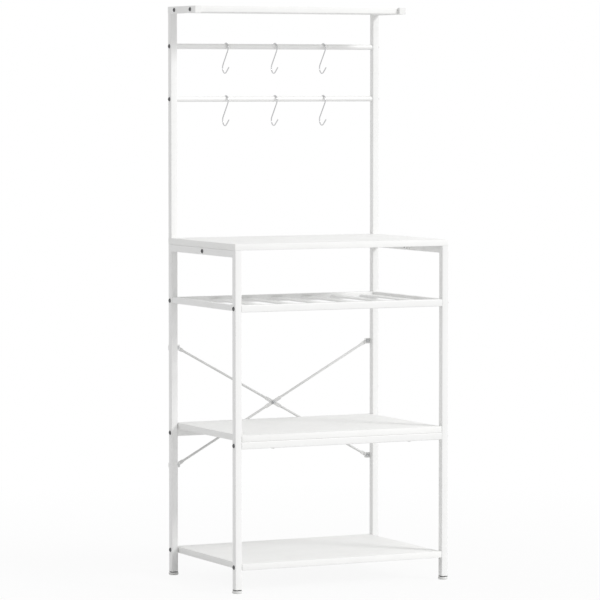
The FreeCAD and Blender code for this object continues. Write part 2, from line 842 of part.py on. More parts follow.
# Crossed brace with its bolts and nuts
brace_rod("rising_brace_rod", 1, -1)
brace_rod("falling_brace_rod", -1, 1)
brace_bolt = button_bolt(
    "brace_bolt_piece", "brace_bolt", "brace_bolt_length", "brace_head", "brace_head_high",
)
brace_nut = hexagon_nut("brace_nut_piece", "brace_nut_across", "brace_nut_thick", "brace_bolt")
brace_corners = [
    (f"{sign}{BRACE_HOLE_ACROSS}", level)
    for sign in ("-", "") for level in ("brace_low_level", "brace_high_level")
]
END_SEAT = f"({BRACE_BACK} + brace_flat_thick / 2)"
CENTRE_SEAT = f"{BRACE_BACK} + brace_flat_thick"
CENTRE_NUT_SEAT = f"{BRACE_BACK} - brace_flat_thick"
group("brace_end_bolts", brace_bolt, [(across, END_SEAT, level, BACK) for across, level in brace_corners])
group("brace_end_nuts", brace_nut, [(across, "depth / 2", level, FRONT) for across, level in brace_corners])
group("brace_centre_bolt", brace_bolt, [("0", CENTRE_SEAT, BRACE_LEVEL, BACK)])
group("brace_centre_nut", brace_nut, [("0", CENTRE_NUT_SEAT, BRACE_LEVEL, FRONT)])

# Bolts through the posts and arms, and what they screw into
frame_bolt = button_bolt("frame_bolt_piece", "bolt", "bolt_length", "bolt_head", "bolt_head_high")
rail_plug = square_plug("rail_plug_piece", "plug_length", "bolt")
HOOK_PLUG = f"((hook_rail_diameter - 2 * hook_rail_wall) * cos({180 / SMALL_SIDES}) - 2 * fit_gap)"
hook_rail_plug = round_sleeve("hook_rail_plug_piece", HOOK_PLUG, "plug_length", "bolt")
board_insert = round_sleeve("board_insert_piece", "insert_diameter", "insert_length", "bolt")

ARM_BACKS = (ARM_BOLT_FRONT, ARM_BOLT_REAR)
OUTSIDE = "width / 2"
RAIL_END = f"{INNER_WIDTH} / 2"
BOARD_END = f"{BOARD_LENGTH} / 2"
group("arm_bolts", frame_bolt, both_sides(OUTSIDE, ARM_BACKS, ARM_LEVEL))
group("top_board_inserts", board_insert, both_sides(BOARD_END, ARM_BACKS, ARM_LEVEL))
hook_rail_bolt_places = []
hook_rail_plug_places = []
for rail_level in HOOK_LEVELS.values():
    hook_rail_bolt_places += both_sides(OUTSIDE, [POST_BACK], rail_level)
    hook_rail_plug_places += both_sides(RAIL_END, [POST_BACK], rail_level)
group("hook_rail_bolts", frame_bolt, hook_rail_bolt_places)
group("hook_rail_plugs", hook_rail_plug, hook_rail_plug_places)
group("slatted_shelf_bolts", frame_bolt, both_sides(OUTSIDE, POST_BACKS, SLAT_BOLT_LEVEL))
group("slatted_shelf_plugs", rail_plug, both_sides(RAIL_END, POST_BACKS, SLAT_BOLT_LEVEL))
group("middle_rail_bolts", frame_bolt, both_sides(OUTSIDE, POST_BACKS, MIDDLE_RAIL_LEVEL))
group("middle_rail_plugs", rail_plug, both_sides(RAIL_END, POST_BACKS, MIDDLE_RAIL_LEVEL))
group("bottom_board_bolts", frame_bolt, both_sides(OUTSIDE, POST_BACKS, BOTTOM_BOLT_LEVEL))
group("bottom_board_inserts", board_insert, both_sides(BOARD_END, POST_BACKS, BOTTOM_BOLT_LEVEL))

middle_screw = wood_screw("middle_screw_piece", "(tube_side + screw_bite)")
RAIL_UNDERSIDE = f"{MIDDLE_RAIL_TOP} - tube_side"
group("middle_board_screws", middle_screw, [
    (across, back, RAIL_UNDERSIDE, DOWN) for across, back in MIDDLE_SCREWS
])

# Worktop's fixings
bracket = worktop_bracket()
turned_round = Rotation(Vector(0, 0, 1), 180)
group("worktop_brackets", bracket, [
    (f"-{INNER_WIDTH} / 2", BRACKET_BACK, WORKTOP_UNDERSIDE, UP),
    (f"{INNER_WIDTH} / 2", BRACKET_BACK, WORKTOP_UNDERSIDE, turned_round),
])
bracket_bolt = button_bolt(
    "bracket_bolt_piece", "bolt", "bracket_bolt_length", "bolt_head", "bolt_head_high",
)
group("worktop_bracket_bolts", bracket_bolt, both_sides(OUTSIDE, [BRACKET_BACK], SIDE_RAIL_LEVEL))
bracket_nut = hexagon_nut("bracket_nut_piece", "bracket_nut_across", "bracket_nut_thick", "bolt")
NUT_SEAT = f"({INNER_WIDTH} / 2 - bracket_thick)"
group("worktop_bracket_nuts", bracket_nut, [
    (f"-{NUT_SEAT}", BRACKET_BACK, SIDE_RAIL_LEVEL, RIGHT),
    (NUT_SEAT, BRACKET_BACK, SIDE_RAIL_LEVEL, LEFT),
])
bracket_screw = wood_screw("bracket_screw_piece", "(bracket_thick + screw_bite)")
SCREW_SEAT = f"{WORKTOP_UNDERSIDE} - bracket_thick"
group("worktop_screws", bracket_screw, [(across, back, SCREW_SEAT, DOWN) for across, back in BRACKET_SCREWS])

# Studs that join each upper frame to the lower one through the worktop
joint_plug = square_plug("joint_plug_piece", "joint_plug_length", "joint_stud")
joint_stud = plain_stud("joint_stud_piece", "joint_stud", "(board_thick + 2 * joint_stud_reach)")
corners_behind = [f"{sign}{POST_ACROSS}" for sign in ("-", "")]
group("post_joint_plugs", joint_plug, [
    (across, POST_BACK, level, turn)
    for level, turn in ((WORKTOP_UNDERSIDE, UP), ("worktop_level", DOWN)) for across in corners_behind
])
STUD_BOTTOM = f"{WORKTOP_UNDERSIDE} - joint_stud_reach"
group("post_joint_studs", joint_stud, [(across, POST_BACK, STUD_BOTTOM, UP) for across in corners_behind])

# Arm caps
CAP_SEAT = f"{ARM_FRONT} + arm_cap_thick"
group("arm_end_caps", arm_cap(), [(f"{sign}{POST_ACROSS}", CAP_SEAT, ARM_LEVEL, FRONT) for sign in ("-", "")])

# Levelling feet
foot_places = {
    "front_left": (f"-{POST_ACROSS}", f"-{POST_BACK}"),
    "front_right": (POST_ACROSS, f"-{POST_BACK}"),
    "rear_left": (f"-{POST_ACROSS}", POST_BACK),
    "rear_right": (POST_ACROSS, POST_BACK),
}
group("foot_plugs", foot_plug(), [(across, back, POST_BOTTOM, DOWN) for across, back in foot_places.values()])
pad_piece = foot_pad()
stud_piece = plain_stud("foot_stud_piece", "foot_stud", "foot_stud_length")
for place_name, (across, back) in foot_places.items():
    group(f"{place_name}_foot_pad", pad_piece, [(across, back, "0", UP)])
    group(f"{place_name}_foot_stud", stud_piece, [(across, back, "foot_pad_thick - foot_stud_root", UP)])

doc.recompute()

# Every object and every sub-part is sound before anything is written
for item in doc.Objects:
    if "Invalid" in item.State or "Error" in item.State:
        raise RuntimeError(f"{item.Name} failed: {item.State}")
for label, thing in nodes.items():
    if thing.Shape.isNull() or not thing.Shape.isValid() or not thing.Shape.Solids:
        raise RuntimeError(f"{label} has no sound shape")

os.makedirs("parts", exist_ok=True)
for label, thing in nodes.items():
    thing.Shape.exportStep(f"parts/{label}.step")
print(f"{len(nodes)} sub-parts written")
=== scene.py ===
import math
import random

import bmesh
import bpy
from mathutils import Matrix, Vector


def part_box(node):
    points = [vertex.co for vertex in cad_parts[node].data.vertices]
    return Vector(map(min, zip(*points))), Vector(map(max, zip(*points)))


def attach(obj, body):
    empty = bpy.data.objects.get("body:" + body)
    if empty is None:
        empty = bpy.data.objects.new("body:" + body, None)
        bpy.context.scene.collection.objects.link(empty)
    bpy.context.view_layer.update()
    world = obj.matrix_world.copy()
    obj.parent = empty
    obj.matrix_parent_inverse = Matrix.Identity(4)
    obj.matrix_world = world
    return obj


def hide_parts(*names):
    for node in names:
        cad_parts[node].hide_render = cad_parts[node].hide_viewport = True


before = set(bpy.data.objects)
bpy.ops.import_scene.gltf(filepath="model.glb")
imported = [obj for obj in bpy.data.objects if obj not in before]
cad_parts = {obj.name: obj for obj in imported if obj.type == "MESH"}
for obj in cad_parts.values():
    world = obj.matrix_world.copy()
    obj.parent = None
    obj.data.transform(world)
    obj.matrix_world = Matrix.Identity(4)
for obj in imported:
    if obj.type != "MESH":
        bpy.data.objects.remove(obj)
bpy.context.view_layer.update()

# Kitchen rack of white square tube, seen from its front left corner
# Lengths are in metres: +X to the right, +Y to the back, +Z up

MM = 0.001

# Frame
HALF_WIDTH = 300 * MM
HALF_DEPTH = 200 * MM
TUBE = 18 * MM
TUBE_ROUND = 2 * MM
SLAT_RAIL = 15 * MM
CLEAR = 0.1 * MM
RAIL_SUNK = 1.4 * MM
POST_SUNK = 0.6 * MM
POST_X = HALF_WIDTH - TUBE / 2
POST_Y = HALF_DEPTH - TUBE / 2
INNER_X = HALF_WIDTH - TUBE
INNER_Y = HALF_DEPTH - TUBE
POST_FOOT = 9 * MM
WORKTOP_UNDER = 852.5 * MM
WORKTOP_TOP = 868.5 * MM
TOP = 1460 * MM
SIDE_RAIL_Z = WORKTOP_UNDER - TUBE / 2
SLATTED_TOP = 717 * MM
SLAT_RAIL_Z = SLATTED_TOP - SLAT_RAIL / 2
SLATTED_Z = SLATTED_TOP - TUBE / 2
MIDDLE_RAIL_Z = 368 * MM
BOTTOM_BOLT_Z = 65 * MM
ARM_Z = TOP - TUBE / 2
ARM_UNDER = TOP - TUBE
ARM_FRONT = 33 * MM
ARM_BOLT_YS = (63.5 * MM, 160 * MM)
BRACKET_Y = -7 * MM
BRACKET_BOLT_END = 274 * MM
BOARD_ROUND = 0.9 * MM
END_EASE = 0.3 * MM

# Caps in the arms' front ends
CAP_THICK = 1.5 * MM
CAP_EASE = 0.5 * MM
CAP_PLUG = 14 * MM
CAP_PLUG_ROUND = 1 * MM
CAP_PLUG_LAP = 0.2 * MM
CAP_PLUG_END = 11 * MM

# Weld beads: at the tubes, the brace plates and the strips
WELD_SIZE = 1.3 * MM
PLATE_WELD = 1.0 * MM
PLATE_WELD_REACH = 6 * MM
STRIP_WELD = 1.1 * MM
STRIP_WELD_REACH = 11 * MM

# Hook rails and hooks
HOOK_RAIL = 14 * MM
HOOK_RAIL_EASE = 0.2 * MM
HOOK_LEVELS = {"upper": 1359 * MM, "lower": 1224 * MM}
HOOK_PLACES = {"left": -140 * MM, "middle": 0.0, "right": 140 * MM}
HOOK_WIRE = 3 * MM
HOOK_GAP = 0.4 * MM
HOOK_UPPER_RADIUS = 12.5 * MM
HOOK_LOWER_RADIUS = 14 * MM
HOOK_TOP = HOOK_RAIL / 2 + HOOK_GAP + HOOK_WIRE / 2
HOOK_DROP = 51 * MM
HOOK_SHIFT = 7 * MM
HOOK_TIP = 1.5 * MM
HOOK_LEG = 19 * MM
HOOK_LEG_RISE = math.radians(38)

# Slatted shelf
STRIP_WIDE = 32 * MM
STRIP_THICK = 4 * MM
STRIP_ROUND = 0.9 * MM
STRIP_STEP = 87.5 * MM
STRIP_SUNK = 1 * MM

# Brace
BRACE_X = 275 * MM
BRACE_LEVELS = (283 * MM, 586 * MM)
BRACE_Y = 203.5 * MM
BRACE_ROD = 6 * MM
BRACE_FLAT = 9.5 * MM
BRACE_THICK = 2 * MM
BRACE_ROUND = 0.7 * MM
BRACE_CENTRE_FLAT = 20 * MM
BRACE_END_FLAT = 14 * MM
BRACE_TAPER = 8 * MM
# How round the rod is at even steps along a taper, from the flat on
TAPER_ROUNDNESS = (0, 0.1, 0.5, 0.9, 1)
# How far from its tip a flat end has which share of its width
TIP_SHARES = ((3.0 * MM, 1), (1.6 * MM, 0.93), (0.6 * MM, 0.78), (0, 0.5))
PLATE_THICK = 2.5 * MM
PLATE_HIGH = 14 * MM
PLATE_REACH = 14 * MM
PLATE_ROUND = 2.4 * MM
PLATE_SUNK = 0.2 * MM

# Bolts and nuts
FRAME_BOLT = dict(width=11 * MM, high=2.4 * MM, bolt=6 * MM, socket=4 * MM, deep=1.3 * MM)
BRACE_BOLT = dict(width=9.5 * MM, high=2.6 * MM, bolt=5 * MM, socket=3.4 * MM, deep=1.4 * MM)
BRACE_NUT = dict(across_flats=8 * MM, thick=4 * MM, bolt=5 * MM, through=2 * MM)
BOLT_PITCH = 0.9 * MM

# Feet: the studs, and the pads' outline as radius and height in millimetres
FOOT_STUD = 6 * MM
FOOT_STUD_PITCH = 1.0 * MM
FOOT_STUD_START = 2.6 * MM
FOOT_STUD_LENGTH = 27.8 * MM
FOOT_PROFILE = (
    (10, 0), (10.9, 0.15), (11.7, 0.6), (12.3, 1.4), (12.5, 2.4), (12.5, 5.5), (12.3, 6.1), (11.8, 6.5),
    (6.5, 6.5), (6.1, 6.7), (6.0, 7.5), (5.8, 7.7),
)

# Meshes: the sides of wide round pieces, and how nodes that keep their own shape are eased
ROUND_SIDES = 48
SHARP_ANGLE = math.radians(32)
SHOWN_JOIN = 0.001 * MM
SHOWN_ROUND = 0.25 * MM
SHOWN_ROUND_ANGLE = math.radians(40)

CORNERS = {
    "front_left": (-POST_X, -POST_Y),
    "front_right": (POST_X, -POST_Y),
    "rear_left": (-POST_X, POST_Y),
    "rear_right": (POST_X, POST_Y),
}
BOTH_POSTS = (-POST_Y, POST_Y)
SIDES = {"left": -1, "right": 1}
BOTH_WAYS = (-1, 1)

X_AXIS = Vector((1, 0, 0))
Y_AXIS = Vector((0, 1, 0))
Z_AXIS = Vector((0, 0, 1))

# Studio
FLOOR_RADIUS = 40
FLOOR_WHITE = (0.74, 0.74, 0.74, 1.0)
FLOOR_NEAR = 0.5
FLOOR_FAR = 2.2
FLOOR_GLOW_SHARE = 0.92
AMBIENT = 0.70
KEY_STRENGTH = 1.46
KEY_SOFTNESS = math.radians(17)
KEY_TRAVEL = (-0.74, 1.0, -0.715)
CAMERA_LENS = 216.68
CAMERA_YAW = math.radians(26.394)
CAMERA_PITCH = math.radians(3.450)
CAMERA_PLACE = (-4.1120, -8.2411, 1.2671)
CAMERA_RANGE = 200


# Outlines, as points across and up

def rounded_outline(wide, high, radius, steps=5):
    """A rectangle with round corners, anticlockwise from the right."""
    across, up = wide / 2 - radius, high / 2 - radius
    middles = ((across, up), (-across, up), (-across, -up), (across, -up))
    points = []
    for quarter, (middle_across, middle_up) in enumerate(middles):
        for step in range(steps + 1):
            angle = math.radians(90 * (quarter + step / steps))
            points.append((middle_across + radius * math.cos(angle), middle_up + radius * math.sin(angle)))
    return points


def round_outline(radius, count, first=0.0):
    turns = [math.radians(first + 360 * index / count) for index in range(count)]
    return [(radius * math.cos(turn), radius * math.sin(turn)) for turn in turns]


def hexagon_outline(across_flats, count):
    """A hexagon with as many points as the circle that it joins."""
    points = []
    for index in range(count):
        turn = 360 * index / count
        reach = across_flats / 2 / math.cos(math.radians((turn + 30) % 60 - 30))
        points.append((reach * math.cos(math.radians(turn)), reach * math.sin(math.radians(turn))))
    return points


# Solids, each added to a piece's mesh

def skin(mesh, rings):
    """Faces between outlines with as many points each, and a face on either end."""
    rows = [[mesh.verts.new(point) for point in ring] for ring in rings]
    for row, following in zip(rows, rows[1:]):
        for index in range(len(row)):
            after = (index + 1) % len(row)
            mesh.faces.new((row[index], row[after], following[after], following[index]))
    mesh.faces.new(list(reversed(rows[0])))
    mesh.faces.new(rows[-1])


def bar(mesh, outline, start, end, sideways, ease=END_EASE):
    """A straight bar whose ends are slightly rounded."""
    start, end, sideways = Vector(start), Vector(end), Vector(sideways)
    along = (end - start).normalized()
    upward = along.cross(sideways)
    half = max(abs(across) for across, up in outline)
    slim = (half - ease) / half
    places = ((start, slim), (start + along * ease, 1), (end - along * ease, 1), (end, slim))
    skin(mesh, [
        [middle + sideways * across * share + upward * up * share for across, up in outline]
        for middle, share in places
    ])


def slab(mesh, low, high, radius, steps=3):
    """A board with all its edges rounded."""
    low, high = Vector(low), Vector(high)
    middle, size = (low + high) / 2, high - low
    before = set(mesh.verts)
    bmesh.ops.create_cube(mesh, size=1)
    made = [vertex for vertex in mesh.verts if vertex not in before]
    for vertex in made:
        vertex.co = middle + Vector(part * share for part, share in zip(vertex.co, size))
    edges = list({edge for vertex in made for edge in vertex.link_edges})
    bmesh.ops.bevel(mesh, geom=edges, offset=radius, segments=steps, profile=0.5, affect="EDGES")


def turned(mesh, rings, seat, outward):
    """A turned piece: outlines at heights along its axis, from its seat outward."""
    turn = Z_AXIS.rotation_difference(Vector(outward)).to_matrix()
    skin(mesh, [
        [Vector(seat) + turn @ Vector((across, up, height)) for across, up in outline]
        for outline, height in rings
    ])


def wire(mesh, path, diameter, sideways, sides=20):
    """A round wire bent in one plane, with rounded ends."""
    radius = diameter / 2
    ways = []
    for index in range(len(path)):
        before, after = path[max(index - 1, 0)], path[min(index + 1, len(path) - 1)]
        ways.append((after - before).normalized())
    caps = [(math.sin(math.radians(turn)), math.cos(math.radians(turn))) for turn in (75, 50, 25)]
    sections = [(path[0] - ways[0] * radius * back, ways[0], share) for back, share in caps]
    sections += [(point, along, 1) for point, along in zip(path, ways)]
    sections += [(path[-1] + ways[-1] * radius * back, ways[-1], share) for back, share in reversed(caps)]
    outline = round_outline(radius, sides)
    skin(mesh, [
        [point + sideways * across * share + along.cross(sideways) * up * share for across, up in outline]
        for point, along, share in sections
    ])


def weld(mesh, start, end, lean, chance, size=WELD_SIZE):
    """A painted weld bead along an inner corner; lean points out of the corner."""
    step, sides, flatness = 0.55 * MM, 10, 0.9
    end_swell, ripple, ripple_turn, scatter = 0.35, 0.10, 1.7, 0.04
    start, end, lean = Vector(start), Vector(end), Vector(lean).normalized()
    along = (end - start).normalized()
    sideways = along.cross(lean)
    length = (end - start).length
    count = max(8, round(length / step))
    rings = []
    for index in range(count + 1):
        share = index / count
        from_end = min(share, 1 - share) * length / size
        swell = min(1.0, end_swell + from_end)
        swell *= 1 + ripple * math.sin(index * ripple_turn) + chance.uniform(-scatter, scatter)
        middle = start + along * length * share
        outline = round_outline(size * swell, sides)
        rings.append([middle + sideways * across + lean * up * flatness for across, up in outline])
    skin(mesh, rings)


def button_head(mesh, seat, outward, width, high, bolt, socket, deep):
    """A low domed head with a six-sided socket, and the start of its shank."""
    sides, steps, dome = 36, 6, math.radians(60)
    shank_start, socket_ease = 0.5 * MM, 0.18 * MM
    seat_share, rim_share, dome_share, crown_share, mouth_share = 0.97, 0.12, 0.14, 0.40, 0.64
    radius = width / 2
    shank = round_outline(bolt / 2, sides)
    rings = [(shank, -shank_start), (shank, 0)]
    rings.append((round_outline(radius * seat_share, sides), 0))
    rings.append((round_outline(radius, sides), high * rim_share))
    for step in range(1, steps + 1):
        turn = dome * step / steps
        reach = crown_share + (1 - crown_share) * math.cos(turn)
        rise = dome_share + (1 - dome_share) * math.sin(turn) / math.sin(dome)
        rings.append((round_outline(radius * reach, sides), high * rise))
    rings.append((round_outline(socket * mouth_share, sides), high))
    rings.append((hexagon_outline(socket, sides), high - socket_ease))
    rings.append((hexagon_outline(socket, sides), high - deep))
    turned(mesh, rings, seat, outward)


def thread(mesh, seat, outward, bolt, length, pitch=BOLT_PITCH):
    """A threaded rod with one helical groove and a blunt tip."""
    sides, steps = 24, 5
    deep, tip_length, tip_share = 0.3 * MM, 0.8 * MM, 0.86
    rings = []
    count = round(length / pitch * steps)
    for index in range(count + 1):
        height = length * index / count
        slim = tip_share + (1 - tip_share) * min(1.0, (length - height) / tip_length)
        outline = []
        for place in range(sides):
            turn = place / sides
            phase = (height / pitch - turn) % 1
            radius = (bolt / 2 - deep * (1 - abs(2 * phase - 1))) * slim
            outline.append((radius * math.cos(turn * math.tau), radius * math.sin(turn * math.tau)))
        rings.append((outline, height))
    turned(mesh, rings, seat, outward)


def hexagon_nut(mesh, seat, outward, across_flats, thick, bolt, through):
    """A nut with turned corners on both faces, and the threaded end that comes out of it."""
    sides = 36
    circle_share, corner_share, bore_ease, bore_deep = 0.97, 0.07, 0.45 * MM, 0.4 * MM
    circle = round_outline(across_flats / 2 * circle_share, sides)
    hexagon = hexagon_outline(across_flats, sides)
    corner = corner_share * across_flats
    rings = [(circle, 0), (hexagon, corner), (hexagon, thick - corner), (circle, thick)]
    rings.append((round_outline(bolt / 2 + bore_ease, sides), thick))
    rings.append((round_outline(bolt / 2, sides), thick - bore_deep))
    turned(mesh, rings, seat, outward)
    thread(mesh, Vector(seat) + Vector(outward) * thick / 2, outward, bolt, thick / 2 + through)


# Finishes

def feed(tree, socket, wanted):
    """Set a socket to a number or a colour, or link it."""
    if isinstance(wanted, (int, float, tuple)):
        socket.default_value = wanted
    else:
        tree.links.new(wanted, socket)


def maths(tree, operation, first, second):
    node = tree.nodes.new("ShaderNodeMath")
    node.operation = operation
    feed(tree, node.inputs[0], first)
    feed(tree, node.inputs[1], second)
    return node.outputs[0]


def noise(tree, place, scale, detail, rough):
    node = tree.nodes.new("ShaderNodeTexNoise")
    feed(tree, node.inputs["Vector"], place)
    feed(tree, node.inputs["Scale"], scale)
    node.inputs["Detail"].default_value = detail
    node.inputs["Roughness"].default_value = rough
    return node.outputs["Fac"]


def spread(tree, fact, low, high, to_low, to_high):
    """A value moved from one range to another, and kept inside it."""
    node = tree.nodes.new("ShaderNodeMapRange")
    feed(tree, node.inputs["Value"], fact)
    for name, wanted in (("From Min", low), ("From Max", high), ("To Min", to_low), ("To Max", to_high)):
        feed(tree, node.inputs[name], wanted)
    return node.outputs["Result"]


def tint(tree, fact, first, second):
    node = tree.nodes.new("ShaderNodeMix")
    node.data_type = "RGBA"
    feed(tree, node.inputs["Factor"], fact)
    feed(tree, node.inputs[6], first)
    feed(tree, node.inputs[7], second)
    return node.outputs[2]


def object_place(tree):
    return tree.nodes.new("ShaderNodeTexCoord").outputs["Object"]


def new_group(name, inputs, outputs):
    group = bpy.data.node_groups.new(name, "ShaderNodeTree")
    for label, default in inputs.items():
        kind = "NodeSocketColor" if isinstance(default, tuple) else "NodeSocketFloat"
        group.interface.new_socket(label, in_out="INPUT", socket_type=kind).default_value = default
    for label, kind in outputs.items():
        group.interface.new_socket(label, in_out="OUTPUT", socket_type=kind)
    inside, outside = group.nodes.new("NodeGroupInput"), group.nodes.new("NodeGroupOutput")
    return group, inside.outputs, outside.inputs


def coat_texture():
    """The faint pebbling and uneven gloss of a baked powder coat or a moulded surface."""
    group, given, result = new_group(
        "coat_texture",
        {"pebble_scale": 900.0, "rough": 0.35, "rough_change": 0.06, "colour": (0.9, 0.9, 0.9, 1.0),
         "shade_colour": (0.88, 0.88, 0.87, 1.0)},
        {"colour": "NodeSocketColor", "rough": "NodeSocketFloat", "height": "NodeSocketFloat"},
    )
    place = object_place(group)
    pebbles = noise(group, place, given["pebble_scale"], detail=2.0, rough=0.4)
    clouds = noise(group, place, scale=14.0, detail=4.0, rough=0.55)
    specks = noise(group, place, scale=260.0, detail=2.0, rough=0.6)
    cloudy = spread(group, clouds, 0.35, 0.7, 0.0, 1.0)
    change = maths(group, "MULTIPLY", maths(group, "SUBTRACT", cloudy, 0.5), given["rough_change"])
    feed(group, result["colour"], tint(group, cloudy, given["colour"], given["shade_colour"]))
    feed(group, result["rough"], maths(group, "ADD", given["rough"], change))
    feed(group, result["height"], maths(group, "ADD", pebbles, maths(group, "MULTIPLY", specks, 0.5)))
    return group


def edge_rub():
    """A mask of the outer edges and rims that hands and tools rub."""
    group, given, result = new_group(
        "edge_rub", {"start": 0.52, "end": 0.60, "patch_scale": 180.0}, {"mask": "NodeSocketFloat"},
    )
    point = group.nodes.new("ShaderNodeNewGeometry").outputs["Pointiness"]
    edges = spread(group, point, given["start"], given["end"], 0.0, 1.0)
    clouds = noise(group, object_place(group), given["patch_scale"], detail=3.0, rough=0.6)
    patches = spread(group, clouds, 0.4, 0.65, 0.0, 1.0)
    feed(group, result["mask"], maths(group, "MULTIPLY", edges, patches))
    return group


def drawn_lines():
    """Fine streaks along one axis, left by drawing, turning or plating."""
    axes = ("across_x", "across_y", "across_z")
    group, given, result = new_group(
        "drawn_lines", {**{axis: 1.0 for axis in axes}, "fineness": 700.0}, {"lines": "NodeSocketFloat"},
    )
    stretch = group.nodes.new("ShaderNodeCombineXYZ")
    for socket, axis in zip(stretch.inputs, axes):
        feed(group, socket, given[axis])
    scaled = group.nodes.new("ShaderNodeVectorMath")
    scaled.operation = "MULTIPLY"
    feed(group, scaled.inputs[0], object_place(group))
    feed(group, scaled.inputs[1], stretch.outputs[0])
    feed(group, result["lines"], noise(group, scaled.outputs[0], given["fineness"], detail=2.0, rough=0.5))
    return group


COAT_TEXTURE = coat_texture()
EDGE_RUB = edge_rub()
DRAWN_LINES = drawn_lines()


def placed_group(tree, group, **values):
    node = tree.nodes.new("ShaderNodeGroup")
    node.node_tree = group
    for name, wanted in values.items():
        node.inputs[name].default_value = wanted
    return node.outputs


def new_finish(name):
    """A material with its own plain shader: the material, its tree and the shader's sockets."""
    material = bpy.data.materials.new(name)
    material.use_nodes = True
    tree = material.node_tree
    return material, tree, tree.nodes["Principled BSDF"].inputs


def raise_surface(tree, sockets, height, strength, distance):
    bump = tree.nodes.new("ShaderNodeBump")
    bump.inputs["Strength"].default_value = strength
    bump.inputs["Distance"].default_value = distance
    feed(tree, bump.inputs["Height"], height)
    feed(tree, sockets["Normal"], bump.outputs["Normal"])


def coated(name, colour, shade, pebble, rough, change, bump):
    """Powder-coated steel or moulded plastic."""
    material, tree, sockets = new_finish(name)
    texture = placed_group(tree, COAT_TEXTURE, pebble_scale=pebble, rough=rough, rough_change=change,
                           colour=colour, shade_colour=shade)
    feed(tree, sockets["Base Color"], texture["colour"])
    feed(tree, sockets["Roughness"], texture["rough"])
    raise_surface(tree, sockets, texture["height"], bump, 0.05 * MM)
    return material


def bare_metal(name, colour, rub_colour, rough, bump, across_x=0.2):
    """Plated or blackened steel with drawn lines and rubbed rims."""
    material, tree, sockets = new_finish(name)
    sockets["Metallic"].default_value = 1.0
    lines = placed_group(tree, DRAWN_LINES, across_x=across_x)["lines"]
    rub = placed_group(tree, EDGE_RUB)["mask"]
    darker = tuple(part * 0.82 for part in colour[:3]) + (1.0,)
    feed(tree, sockets["Base Color"], tint(tree, rub, tint(tree, lines, darker, colour), rub_colour))
    feed(tree, sockets["Roughness"], spread(tree, lines, 0.3, 0.7, rough * 0.8, rough * 1.2))
    raise_surface(tree, sockets, lines, bump, 0.02 * MM)
    return material


def laminate(name, colour, shade, pore_colour):
    """Satin laminate with a faint pressed pore pattern along the board."""
    material, tree, sockets = new_finish(name)
    sockets["Specular IOR Level"].default_value = 0.3
    stretched = tree.nodes.new("ShaderNodeMapping")
    stretched.inputs["Scale"].default_value = (0.12, 1.0, 1.0)
    feed(tree, stretched.inputs["Vector"], object_place(tree))
    grain = noise(tree, stretched.outputs[0], scale=420.0, detail=4.0, rough=0.6)
    texture = placed_group(tree, COAT_TEXTURE, pebble_scale=650.0, rough=0.50, rough_change=0.07,
                           colour=colour, shade_colour=shade)
    pores = spread(tree, grain, 0.52, 0.66, 0.0, 0.35)
    feed(tree, sockets["Base Color"], tint(tree, pores, texture["colour"], pore_colour))
    grain_rough = maths(tree, "MULTIPLY", grain, 0.08)
    feed(tree, sockets["Roughness"], maths(tree, "ADD", texture["rough"], grain_rough))
    height = maths(tree, "ADD", maths(tree, "MULTIPLY", texture["height"], 0.5), grain)
    raise_surface(tree, sockets, height, 0.12, 0.04 * MM)
    return material


POWDER_WHITE = coated(
    "white_powder_coat", colour=(0.90, 0.90, 0.895, 1.0), shade=(0.88, 0.88, 0.872, 1.0),
    pebble=1100.0, rough=0.36, change=0.08, bump=0.25,
)
# Painted shade: the brace rods carry the frame's white coat, and this darker grey copy of it paints in the
# shade that makes thin rods look grey
BRACE_PAINTED_SHADE_COAT = coated(
    "brace_powder_coat_painted_shade", colour=(0.71, 0.71, 0.705, 1.0), shade=(0.68, 0.68, 0.675, 1.0),
    pebble=1100.0, rough=0.38, change=0.08, bump=0.25,
)
BOARD_WHITE = laminate(
    "white_board_laminate", colour=(0.925, 0.925, 0.915, 1.0), shade=(0.905, 0.905, 0.895, 1.0),
    pore_colour=(0.865, 0.865, 0.855, 1.0),
)
CAP_WHITE = coated(
    "white_cap_plastic", colour=(0.88, 0.88, 0.87, 1.0), shade=(0.86, 0.86, 0.85, 1.0),
    pebble=1500.0, rough=0.42, change=0.05, bump=0.2,
)
FOOT_WHITE = coated(
    "white_foot_plastic", colour=(0.80, 0.80, 0.79, 1.0), shade=(0.74, 0.74, 0.73, 1.0),
    pebble=1300.0, rough=0.45, change=0.08, bump=0.3,
)
# Partly real, partly painted shade: the plugs' flanges are black plastic, and their black also stands in
# for the shadow in the gap between each post and its foot pad
PLUG_BLACK_AND_GAP_SHADE = coated(
    "black_plug_plastic_and_gap_shade", colour=(0.030, 0.030, 0.030, 1.0), shade=(0.022, 0.022, 0.022, 1.0),
    pebble=1300.0, rough=0.5, change=0.1, bump=0.3,
)
HOOK_METAL = bare_metal(
    "plated_hook_wire", colour=(0.62, 0.62, 0.63, 1.0), rub_colour=(0.72, 0.72, 0.72, 1.0),
    rough=0.22, bump=0.1, across_x=1.0,
)
BOLT_STEEL = bare_metal(
    "dark_bolt_steel", colour=(0.125, 0.125, 0.13, 1.0), rub_colour=(0.36, 0.36, 0.36, 1.0),
    rough=0.42, bump=0.2,
)
ZINC = bare_metal(
    "zinc_plated_steel", colour=(0.56, 0.57, 0.58, 1.0), rub_colour=(0.70, 0.70, 0.70, 1.0),
    rough=0.34, bump=0.2,
)
# Painted light: a lighter copy of the zinc plate, so that the bracket nuts and screws in the shade under
# the worktop do not read as dark spots
ZINC_PAINTED_LIGHT = bare_metal(
    "zinc_steel_painted_light", colour=(0.80, 0.80, 0.80, 1.0), rub_colour=(0.86, 0.86, 0.86, 1.0),
    rough=0.40, bump=0.2,
)


# Pieces

